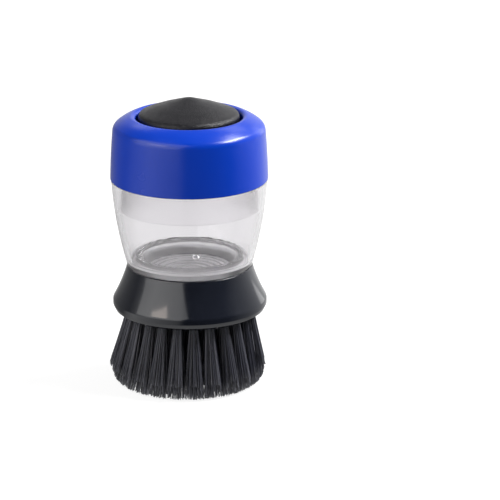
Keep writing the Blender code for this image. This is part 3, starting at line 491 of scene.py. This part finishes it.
def clear_plastic():
    """Clear polished plastic with white frost in rings on the well's floor, on its wall and in the groove
    round it.

    That white frost is partly painted light: it stands for the light that the thick clear plastic carries
    into these places. Each such place is bounded by its radius and its height. The rest, spigot too, stays
    clear.
    """
    material = moulded("clear_polished_plastic", (0.985, 0.975, 0.99), 0.02, 3.0, 0.006, {"IOR": 1.49},
                       fleck=0.01, rough_spread=0.015)
    nodes, links = material.node_tree.nodes, material.node_tree.links
    shader = nodes["Principled BSDF"]
    axes = nodes.new("ShaderNodeSeparateXYZ")
    links.new(nodes["Texture Coordinate"].outputs["Object"], axes.inputs["Vector"])
    flat = nodes.new("ShaderNodeCombineXYZ")
    links.new(axes.outputs["X"], flat.inputs["X"])
    links.new(axes.outputs["Y"], flat.inputs["Y"])
    reach = nodes.new("ShaderNodeVectorMath")
    reach.operation = "LENGTH"
    links.new(flat.outputs["Vector"], reach.inputs[0])
    radius, height = reach.outputs["Value"], axes.outputs["Z"]

    def past(value, low, high, first, second):
        return scaled(nodes, links, value, low * MM, high * MM, first, second)

    def product(*shares):
        result = shares[0]
        for share in shares[1:]:
            result = combined(nodes, links, "MULTIPLY", result, share)
        return result

    rings = nodes.new("ShaderNodeTexWave")
    rings.wave_type, rings.rings_direction = "RINGS", "Z"
    rings.inputs["Scale"].default_value = FLOOR_RING_SCALE
    links.new(nodes["Texture Coordinate"].outputs["Object"], rings.inputs["Vector"])
    floor = product(past(radius, 17.0, 18.0, 1.0, 0.0), past(height, 47.7, 48.4, 1.0, 0.0),
                    scaled(nodes, links, rings.outputs["Fac"], 0.05, 0.5, 0.6, 1.0))
    groove = product(past(radius, 21.2, 22.0, 0.0, GROOVE_FROST_AND_LIGHT), past(radius, 24.2, 24.9, 1.0, 0.0),
                     past(height, 52.0, 53.0, 1.0, 0.0), past(height, 48.4, 48.9, 0.0, 1.0))
    wall = product(past(radius, 20.8, 21.4, WALL_FROST_AND_LIGHT, 0.0), past(height, 47.6, 48.2, 0.0, 1.0),
                   past(height, 52.6, 53.4, 1.0, 0.0))
    # frost share that also paints light: white where the thick clear plastic carries light in
    frost_and_light = combined(nodes, links, "MAXIMUM", combined(nodes, links, "MAXIMUM", floor, groove), wall)
    links.new(scaled(nodes, links, frost_and_light, 0.0, 1.0, PLAIN_CLEARNESS, FROST_AND_LIGHT_CLEARNESS),
              shader.inputs["Transmission Weight"])
    worn = shader.inputs["Roughness"].links[0].from_socket
    rougher = scaled(nodes, links, frost_and_light, 0.0, 1.0, 0.0, FROSTED_ROUGHNESS)
    links.new(combined(nodes, links, "ADD", worn, rougher), shader.inputs["Roughness"])
    return material


CLEAR = clear_plastic()
# the pip's bright white mirror finish is a painted glint, standing in for the light that the clear pip throws
# back from inside
PIP_GLINT_MIRROR = moulded("gate_pip_glint_mirror", (0.985, 0.98, 0.99), 0.1, 0.5, 0.01,
                         {"Metallic": 0.75}, fleck=0.01, rough_spread=0.04)
reservoir = turned("reservoir_tub", tub_outline, TUB_STEPS)
fit(reservoir, "reservoir", "clear_plastic", CLEAR, "reservoir")

pip = bmesh.new()
pip_way = Vector((math.cos(GATE_PIP_TURN), math.sin(GATE_PIP_TURN), 0))
pip_place = pip_way * GATE_PIP_REACH * MM + Vector((0, 0, GATE_PIP_FOOT * MM))
bmesh.ops.create_uvsphere(pip, u_segments=32, v_segments=16, radius=GATE_PIP_RADIUS * MM,
                          matrix=Matrix.Translation(pip_place) @ Matrix.Diagonal((1, 1, GATE_PIP_SQUAT, 1)))
for spot in pip.verts:
    spot.co.z = min(spot.co.z, pip_place.z + GATE_PIP_HEIGHT * MM)
gate_pip = piece_from("reservoir_gate_pip", pip)
# the pip wears the mirror finish that paints its glints
fit(gate_pip, "reservoir", "clear_plastic", PIP_GLINT_MIRROR)


def thread_ribs(name, low, base, crest, first_turn):
    """Short helical ribs that stand from a wall's radius, base, to their crest, each with run-out ends."""
    shape = bmesh.new()
    for start in range(THREAD_STARTS):
        rings = []
        for step in range(RIB_STEPS + 1):
            share = step / RIB_STEPS
            turn = first_turn + FULL_TURN * start / THREAD_STARTS + THREAD_ARC * share
            height = low + THREAD_LEAD * THREAD_ARC * share / FULL_TURN
            fade = min(1, share / RIB_RUN_OUT, (1 - share) / RIB_RUN_OUT) ** 0.5
            top = base + (crest - base) * max(fade, 0.05)
            section = ((base, height - RIB_FOOT), (top, height - RIB_CREST), (top, height + RIB_CREST),
                       (base, height + RIB_FOOT))
            rings.append([shape.verts.new(placed(radius, turn, z)) for radius, z in section])
        for here, there in zip(rings, rings[1:]):
            for side in range(4):
                shape.faces.new((here[side], here[(side + 1) % 4], there[(side + 1) % 4], there[side]))
        shape.faces.new(rings[0])
        shape.faces.new(reversed(rings[-1]))
    bmesh.ops.recalc_face_normals(shape, faces=shape.faces)
    return piece_from(name, shape)


mouth_thread = thread_ribs("reservoir_mouth_thread", 84.9, 28.62, 27.85, math.radians(300))
fit(mouth_thread, "reservoir", "clear_plastic", CLEAR)


# Slit valve and retainer. A dished silicone disc that a cross slit opens under pressure, held up in the boss
# below the floor by a pressed white ring.
VALVE_STEPS = 96
SLIT_LENGTH = 5.6
SLIT_WIDTH = 0.3
SLIT_TOOL_HEIGHT = 4.0
SLIT_TOOL_MIDDLE = 44.5
SILICONE = moulded("pale_silicone", (0.74, 0.75, 0.77), 0.42, 0.3, 0.015,
                   {"Subsurface Weight": 0.25, "Subsurface Scale": 0.002})
WHITE_PLASTIC = moulded("white_moulding", (0.78, 0.78, 0.77), 0.38, 0.4, 0.012)
valve_outline = [(0, 44.9), (3.4, 45.2, 0.5), (4.0, 45.8, 0.2), (4.6, 45.5, 0.2), (4.6, 44.3, 0.2),
                 (6.6, 44.3, 0.2), (6.6, 43.2, 0.2), (4.0, 43.2, 0.2), (3.4, 44.1, 0.4), (0, 44.1)]
slit_valve = turned("slit_valve_disc", valve_outline, VALVE_STEPS, closed=False)
slits = bmesh.new()
for length, width in ((SLIT_LENGTH, SLIT_WIDTH), (SLIT_WIDTH, SLIT_LENGTH)):
    bmesh.ops.create_cube(slits, size=MM, matrix=Matrix.Translation((0, 0, SLIT_TOOL_MIDDLE * MM))
                          @ Matrix.Diagonal((length, width, SLIT_TOOL_HEIGHT, 1)))
cut_away(slit_valve, piece_from("valve_slits", slits), overlapping=True)
fit(slit_valve, "reservoir", "silicone", SILICONE, "slit_valve")
retainer = flat_ring("valve_retainer_ring", 4.9, 9.3, 42.9, 41.8, VALVE_STEPS)
fit(retainer, "reservoir", "white_plastic", WHITE_PLASTIC, "valve_retainer")


# Lid gasket and cap insert. The grey rubber ring seals the mouth under a clear moulded plate, whose plug
# skirt thins to its end and carries the thread, and whose upper wall stops the button.
lid_gasket = flat_ring("lid_gasket_ring", 27.65, 29.55, 89.3, 87.8, TUB_STEPS, inside=0.1, outside=0.4)
fit(lid_gasket, "lid_seal", "seal_rubber", SEAL_RUBBER, "lid_gasket")
insert_outline = [(19.3, 95.3, 0.3), (19.3, 91.4, 0.4), (29.85, 91.4, 0.3), (29.85, 89.6, 0.3),
                  (27.35, 89.6, 0.3), (27.35, 73.45, 0.12), (27.1, 73.45, 0.12), (25.65, 82.5, 6.0),
                  (25.65, 89.6, 0.5), (1.9, 89.6, 0.2), (1.9, 91.4, 0.2), (17.4, 91.4, 0.4),
                  (17.4, 95.3, 0.3)]
HAZY_CLEAR = moulded("clear_moulded_insert", (0.99, 0.982, 0.995), 0.2, 3.0, 0.01,
                     {"Transmission Weight": 0.96, "IOR": 1.49}, fleck=0.01, rough_spread=0.04)
cap_insert = turned("cap_insert_plate", insert_outline, TUB_STEPS)
fit(cap_insert, "lid", "clear_plastic", HAZY_CLEAR, "cap_insert")
skirt_thread = thread_ribs("cap_insert_thread", 83.4, 27.3, 28.15, math.radians(330))
fit(skirt_thread, "lid", "clear_plastic", HAZY_CLEAR)


# Air pump. A white clamp ring, moulded silicone bellows and a wound steel return spring, all between the
# insert and the button. In use the bellows and the spring shorten as the button goes down; here they are
# built at rest, each with a mesh of its own.
PUMP_STEPS = 128
FOLDS = 6
FOLD_FOOT = 94.5
FOLD_TOP = 107.0
FOLD_INNER = 11.3
FOLD_OUTER = 13.9
BELLOWS_WALL = 0.7
bellows_ring = flat_ring("bellows_clamp_ring", 11.6, 17.1, 94.2, 93.0, PUMP_STEPS, outside=0.3)
fit(bellows_ring, "lid", "white_plastic", WHITE_PLASTIC, "bellows_ring")
fold_step = (FOLD_TOP - FOLD_FOOT) / FOLDS
folds = [(FOLD_OUTER if fold % 2 else FOLD_INNER, FOLD_FOOT + fold_step * fold) for fold in range(FOLDS + 1)]
bellows_outline = [(0, 107.7), (FOLD_INNER, 107.7, 0.3)]
bellows_outline += [(radius, height, 0.45) for radius, height in reversed(folds)]
bellows_outline += [(FOLD_INNER, 92.7, 0.3), (17.1, 92.7, 0.2), (17.1, 91.7, 0.2), (10.6, 91.7, 0.2)]
bellows_outline += [(radius - BELLOWS_WALL, height, 0.4) for radius, height in folds] + [(0, FOLD_TOP)]
pump_bellows = turned("pump_bellows_moulding", bellows_outline, PUMP_STEPS, closed=False)
fit(pump_bellows, "lid", "silicone", SILICONE, "pump_bellows")
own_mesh(pump_bellows)

SPRING_TURNS = 5
SPRING_FOOT = 95.18
SPRING_TOP = 107.07
COIL_RADIUS = 15.5
COIL_POINTS = 40
WIRE_RADIUS = 0.6
WIRE_SIDES = 12
wire_turns = [FULL_TURN * side / WIRE_SIDES for side in range(WIRE_SIDES)]
coil = bmesh.new()
wire_rings = []
for number in range(SPRING_TURNS * COIL_POINTS + 1):
    share = number / (SPRING_TURNS * COIL_POINTS)
    turn = FULL_TURN * SPRING_TURNS * share
    out = Vector((math.cos(turn), math.sin(turn), 0))
    middle = out * COIL_RADIUS + Vector((0, 0, SPRING_FOOT + (SPRING_TOP - SPRING_FOOT) * share))
    spokes = [out * math.cos(way) + Vector((0, 0, math.sin(way))) for way in wire_turns]
    wire_rings.append([coil.verts.new((middle + WIRE_RADIUS * spoke) * MM) for spoke in spokes])
for here, there in zip(wire_rings, wire_rings[1:]):
    for side in range(WIRE_SIDES):
        after = (side + 1) % WIRE_SIDES
        coil.faces.new((here[side], here[after], there[after], there[side]))
coil.faces.new(wire_rings[0])
coil.faces.new(reversed(wire_rings[-1]))
bmesh.ops.recalc_face_normals(coil, faces=coil.faces)
return_spring = piece_from("return_spring_coil", coil, math.radians(60))
SPRING_STEEL = moulded("drawn_spring_steel", (0.55, 0.55, 0.57), 0.28, 0.12, 0.006, {"Metallic": 1.0})
fit(return_spring, "lid", "spring_steel", SPRING_STEEL, "return_spring")
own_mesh(return_spring)


# Cap shell. Blue glossy moulding with a barely barrelled side, a sloping top and a rounded hole whose guide
# tube carries the button. Its surface has the faint orange peel of moulded colour.
CAP_STEPS = 256
cap_top = bowed((22.96, 111.07), (29.95, 107.0), 0.42, 8)
cap_side = bowed((30.55, 106.65), (31.75, 85.2), 0.18, 12)
cap_outline = [(21.23, 112.08, 2.0)] + cap_top[1:-2] + [(30.55, 106.65, 3.6)] + cap_side[2:-1]
cap_outline += [(31.75, 85.2, 0.25), (30.25, 85.2, 0.25), (30.25, 91.8, 0.2), (29.15, 91.8, 0.2),
                (28.15, 104.05, 1.2), (23.03, 108.0, 0.4), (23.03, 102.6, 0.3), (21.23, 102.6, 0.3)]
BLUE = moulded("blue_gloss_moulding", (0.002, 0.045, 0.50), 0.24, 0.9, 0.006, fleck=0.04, rough_spread=0.04)
cap_shell = turned("cap_shell_moulding", cap_outline, CAP_STEPS)
fit(cap_shell, "lid", "blue_cap", BLUE, "cap_shell")


# Button. A rigid white core with a catch flange under a soft black cover, whose low tent has a fine leathery
# grain and a rounded edge. The top is left plain.
BUTTON_STEPS = 224
TENT_FOOT = 110.6 + 1.05
TENT_RISE = 6.6
TENT_REACH = 18.1
TENT_RADIUS_SHARES = (0.0, 0.08, 0.19, 0.34, 0.5, 0.67, 0.83, 1.0)
TENT_RISE_SHARES = (1.0, 0.978, 0.893, 0.766, 0.628, 0.478, 0.316, 0.14)


def tent(drop, inset, finer=5):
    """Outline of the button's top from the centre out, lowered and drawn in for the inner faces.

    A smooth curve runs through the measured knots, with the way between two of them cut into finer steps.
    """
    reach = TENT_REACH - inset
    knots = [(reach * radius_share, TENT_FOOT + TENT_RISE * rise_share - drop)
             for radius_share, rise_share in zip(TENT_RADIUS_SHARES, TENT_RISE_SHARES)]
    before = (-knots[1][0], knots[1][1])
    beyond = (2 * knots[-1][0] - knots[-2][0], 2 * knots[-1][1] - knots[-2][1])
    ends = [before] + knots + [beyond]
    points = []
    for a, b, c, d in zip(ends, ends[1:], ends[2:], ends[3:]):
        for step in range(finer):
            t = step / finer
            points.append(tuple(0.5 * (2 * q + (r - p) * t + (2 * p - 5 * q + 4 * r - s) * t * t
                                       + (3 * q - p - 3 * r + s) * t ** 3) for p, q, r, s in zip(a, b, c, d)))
    points.append(knots[-1])
    points[0] = (0, points[0][1])
    return points


core_outline = tent(2.1, 1.4)
core_outline += [(18.9, 109.37, 0.5), (18.9, 102.2, 0.2), (22.43, 102.2, 0.3), (22.43, 100.6, 0.3),
                 (17.4, 100.6, 0.2), (17.4, 108.0, 0.3), (13.9, 108.0, 0.2), (13.9, 109.8, 0.2),
                 (11.3, 109.8, 0.2), (11.3, 108.0, 0.2), (0, 108.0)]
button_core = turned("button_core_moulding", core_outline, BUTTON_STEPS, closed=False)
fit(button_core, "button", "white_plastic", WHITE_PLASTIC, "button_core")
cover_outline = tent(0, 0)
cover_outline += [(20.3, 111.65, 2.2), (20.3, 104.6, 0.3), (19.2, 104.6, 0.3), (19.2, 109.67, 0.5)]
cover_outline += reversed(tent(1.8, 1.1))
push_button = turned("push_button_cover", cover_outline, BUTTON_STEPS, closed=False)


def leathery_black():
    """Soft black elastomer with small raised cells between fine creases."""
    cell_size, crease_depth = 0.7, 0.21
    material = moulded("grained_soft_black", (0.0062, 0.0058, 0.0085), 0.33, 0.34, 0.1,
                       {"Specular IOR Level": 0.34}, fleck=0.12)
    nodes, links = material.node_tree.nodes, material.node_tree.links
    cells = nodes.new("ShaderNodeTexVoronoi")
    cells.feature = "DISTANCE_TO_EDGE"
    cells.inputs["Scale"].default_value = 1 / (cell_size * MM)
    links.new(nodes["Mapping"].outputs["Vector"], cells.inputs["Vector"])
    crease = nodes.new("ShaderNodeBump")
    crease.inputs["Strength"].default_value = 1.0
    crease.inputs["Distance"].default_value = crease_depth * MM
    links.new(cells.outputs["Distance"], crease.inputs["Height"])
    links.new(nodes["Bump"].outputs["Normal"], crease.inputs["Normal"])
    links.new(crease.outputs["Normal"], nodes["Principled BSDF"].inputs["Normal"])
    return material


fit(push_button, "button", "soft_touch_black", leathery_black(), "push_button")


# Table and backdrop. A seamless white sheet that keeps the scrubber's soft shadow, in a white room that is
# darker in front and on the left, so that the polished pieces have edges to show.
SHEET_SIZE = 12.0
SHEET_BELOW = 0.0002
SHEET_PAPER = 0.25
SHEET_GLOW = 0.88
ROOM_CENTRE_HEIGHT = 0.1
SOFT_FILL = 0.4


def surround(nodes, links, way):
    """How bright the room is towards a direction: x is to the right, y away from the front, z up.

    It is white low down behind, fading to the left and above, has a lit strip on the left, and is dark in
    front. Straight below it is white again.
    """
    unit = nodes.new("ShaderNodeVectorMath")
    unit.operation = "NORMALIZE"
    links.new(way, unit.inputs[0])
    axes = nodes.new("ShaderNodeSeparateXYZ")
    links.new(unit.outputs[0], axes.inputs["Vector"])
    x, y, z = axes.outputs
    behind = scaled(nodes, links, y, -0.45, 0.75, 0.0, 1.0)
    leftward = scaled(nodes, links, x, -0.5, -0.02, 0.33, 1.0)
    above = scaled(nodes, links, z, 0.35, 0.62, 1.0, 0.36)
    back = combined(nodes, links, "MULTIPLY", combined(nodes, links, "MULTIPLY", behind, leftward), above)
    left_side = nodes.new("ShaderNodeValToRGB")
    stops = left_side.color_ramp.elements
    stops[0].position, stops[0].color = 0.0, (0.4, 0.4, 0.4, 1)
    stops[1].position, stops[1].color = 0.9, (0, 0, 0, 1)
    for position, level in ((0.15, 0.9), (0.5, 0.6), (0.8, 0.36)):
        stops.new(position).color = (level, level, level, 1)
    links.new(scaled(nodes, links, x, -1.0, 0.0, 0.0, 1.0), left_side.inputs["Fac"])
    ahead = scaled(nodes, links, y, -0.1, 0.3, 1.3, 0.0)
    left_light = combined(nodes, links, "MULTIPLY", left_side.outputs["Color"], ahead)
    below = scaled(nodes, links, z, -0.93, -0.86, 1.0, 0.0)
    return combined(nodes, links, "MAXIMUM", combined(nodes, links, "MAXIMUM", back, left_light), below)


def seen_white(nodes, links, way):
    """White to the camera and through clear pieces; the surround to mirrored rays and, weaker, as soft fill.

    Seen through the clear pieces the left half is a shade less white.
    """
    rays = nodes.new("ShaderNodeLightPath")
    axes = nodes.new("ShaderNodeSeparateXYZ")
    links.new(way, axes.inputs["Vector"])
    beyond = scaled(nodes, links, axes.outputs["X"], -0.06, -0.015, 0.9, 1.0)
    through = combined(nodes, links, "MULTIPLY", rays.outputs["Is Transmission Ray"], beyond)
    plain = combined(nodes, links, "MAXIMUM", rays.outputs["Is Camera Ray"], through)
    fill = combined(nodes, links, "MULTIPLY", rays.outputs["Is Diffuse Ray"], SOFT_FILL)
    reached = combined(nodes, links, "MAXIMUM", rays.outputs["Is Glossy Ray"], fill)
    lit = combined(nodes, links, "MULTIPLY", reached, surround(nodes, links, way))
    return rays, combined(nodes, links, "MAXIMUM", plain, lit)


def white_sheet():
    """Paper that takes the soft shadow and glows white as the room does; from below it is clear."""
    material = bpy.data.materials.new("white_sheet")
    material.use_nodes = True
    nodes, links = material.node_tree.nodes, material.node_tree.links
    nodes.clear()
    place = nodes.new("ShaderNodeTexCoord")
    lowered = nodes.new("ShaderNodeVectorMath")
    lowered.inputs[1].default_value = (0, 0, -ROOM_CENTRE_HEIGHT)
    links.new(place.outputs["Object"], lowered.inputs[0])
    rays, shown = seen_white(nodes, links, lowered.outputs["Vector"])
    paper = nodes.new("ShaderNodeBsdfDiffuse")
    paper.inputs["Color"].default_value = (SHEET_PAPER, SHEET_PAPER, SHEET_PAPER, 1)
    glow = nodes.new("ShaderNodeEmission")
    links.new(combined(nodes, links, "MULTIPLY", shown, SHEET_GLOW), glow.inputs["Strength"])
    both = nodes.new("ShaderNodeAddShader")
    links.new(paper.outputs[0], both.inputs[0])
    links.new(glow.outputs[0], both.inputs[1])
    choose = nodes.new("ShaderNodeMixShader")
    links.new(rays.outputs["Is Glossy Ray"], choose.inputs["Fac"])
    links.new(both.outputs[0], choose.inputs[1])
    links.new(glow.outputs[0], choose.inputs[2])
    under = nodes.new("ShaderNodeNewGeometry")
    see_through = nodes.new("ShaderNodeBsdfTransparent")
    sided = nodes.new("ShaderNodeMixShader")
    links.new(under.outputs["Backfacing"], sided.inputs["Fac"])
    links.new(choose.outputs[0], sided.inputs[1])
    links.new(see_through.outputs[0], sided.inputs[2])
    output = nodes.new("ShaderNodeOutputMaterial")
    links.new(sided.outputs[0], output.inputs["Surface"])
    return material


bpy.ops.mesh.primitive_plane_add(size=SHEET_SIZE, location=(0, 0, -SHEET_BELOW))
table_sheet = bpy.context.object
table_sheet.name = "table_sheet"
table_sheet.data.materials.append(white_sheet())

world = bpy.data.worlds.new("white_room")
bpy.context.scene.world = world
world.use_nodes = True
room, wires = world.node_tree.nodes, world.node_tree.links
room.clear()
direction = room.new("ShaderNodeTexCoord")
room_rays, room_white = seen_white(room, wires, direction.outputs["Generated"])
room_light = room.new("ShaderNodeBackground")
wires.new(room_white, room_light.inputs["Strength"])
room_output = room.new("ShaderNodeOutputWorld")
wires.new(room_light.outputs[0], room_output.inputs["Surface"])


# Lamps and camera. A wide softbox with a warm spot stands close on the left; two bright ones high on the
# right give most of the light, with soft ones low down and behind. The long lens looks down from in front.
LAMP_AIM = Vector((0, 0, 0.07))
LENS = 223.85
SENSOR_WIDTH = 36
LOOK_DOWN = 17.44


def softbox(name, turn, rise, distance, width, height, radiance, tint=(1, 1, 1)):
    """A rectangular lamp that the camera doesn't see, aimed at the scrubber.

    Its place is its turn from the front (to the right is positive), its rise and its distance in metres.
    """
    turn, rise = math.radians(turn), math.radians(rise)
    lamp = bpy.data.lights.new(name, "AREA")
    lamp.shape = "RECTANGLE"
    lamp.size, lamp.size_y = width, height
    lamp.energy = radiance * math.pi * width * height
    lamp.color = tint
    holder = bpy.data.objects.new(name, lamp)
    bpy.context.scene.collection.objects.link(holder)
    way = Vector((math.sin(turn) * math.cos(rise), -math.cos(turn) * math.cos(rise), math.sin(rise)))
    holder.location = LAMP_AIM + way * distance
    holder.rotation_euler = way.to_track_quat("Z", "Y").to_euler()
    holder.visible_camera = False
    return holder


softbox("left_softbox", -48, 33, 0.62, 0.92, 0.62, 1.1)
softbox("left_softbox_foot", -48, 3, 0.62, 0.92, 0.10, 0.6)
softbox("left_warm_spot", -49, 30.5, 0.605, 0.24, 0.12, 3.0, (1, 0.86, 0.77))
softbox("right_softbox", 96, 49, 1.5, 1.0, 0.7, 8.0)
softbox("right_lamp", 92, 47, 1.45, 0.9, 0.2, 30.0)
softbox("right_fill", 140, 12, 1.5, 0.5, 0.9, 1.2)
low_fill = softbox("right_low_fill", 100, 0, 0.6, 0.6, 0.12, 5.0)  # lights the tufts and shows in no mirror
low_fill.visible_glossy = low_fill.visible_transmission = False
softbox("back_right_softbox", 152, 46, 1.5, 0.5, 0.4, 1.6)
softbox("back_left_softbox", -160, 40, 1.5, 0.45, 0.4, 1.4)

camera_data = bpy.data.cameras.new("camera")
camera_data.lens = LENS
camera_data.sensor_width = SENSOR_WIDTH
camera = bpy.data.objects.new("camera", camera_data)
camera.location = (0.0244, -1.2, 0.4315)
camera.rotation_euler = (math.radians(90 - LOOK_DOWN), 0, 0)
bpy.context.scene.collection.objects.link(camera)
bpy.context.scene.camera = camera
bpy.context.scene.view_settings.view_transform = "Standard"
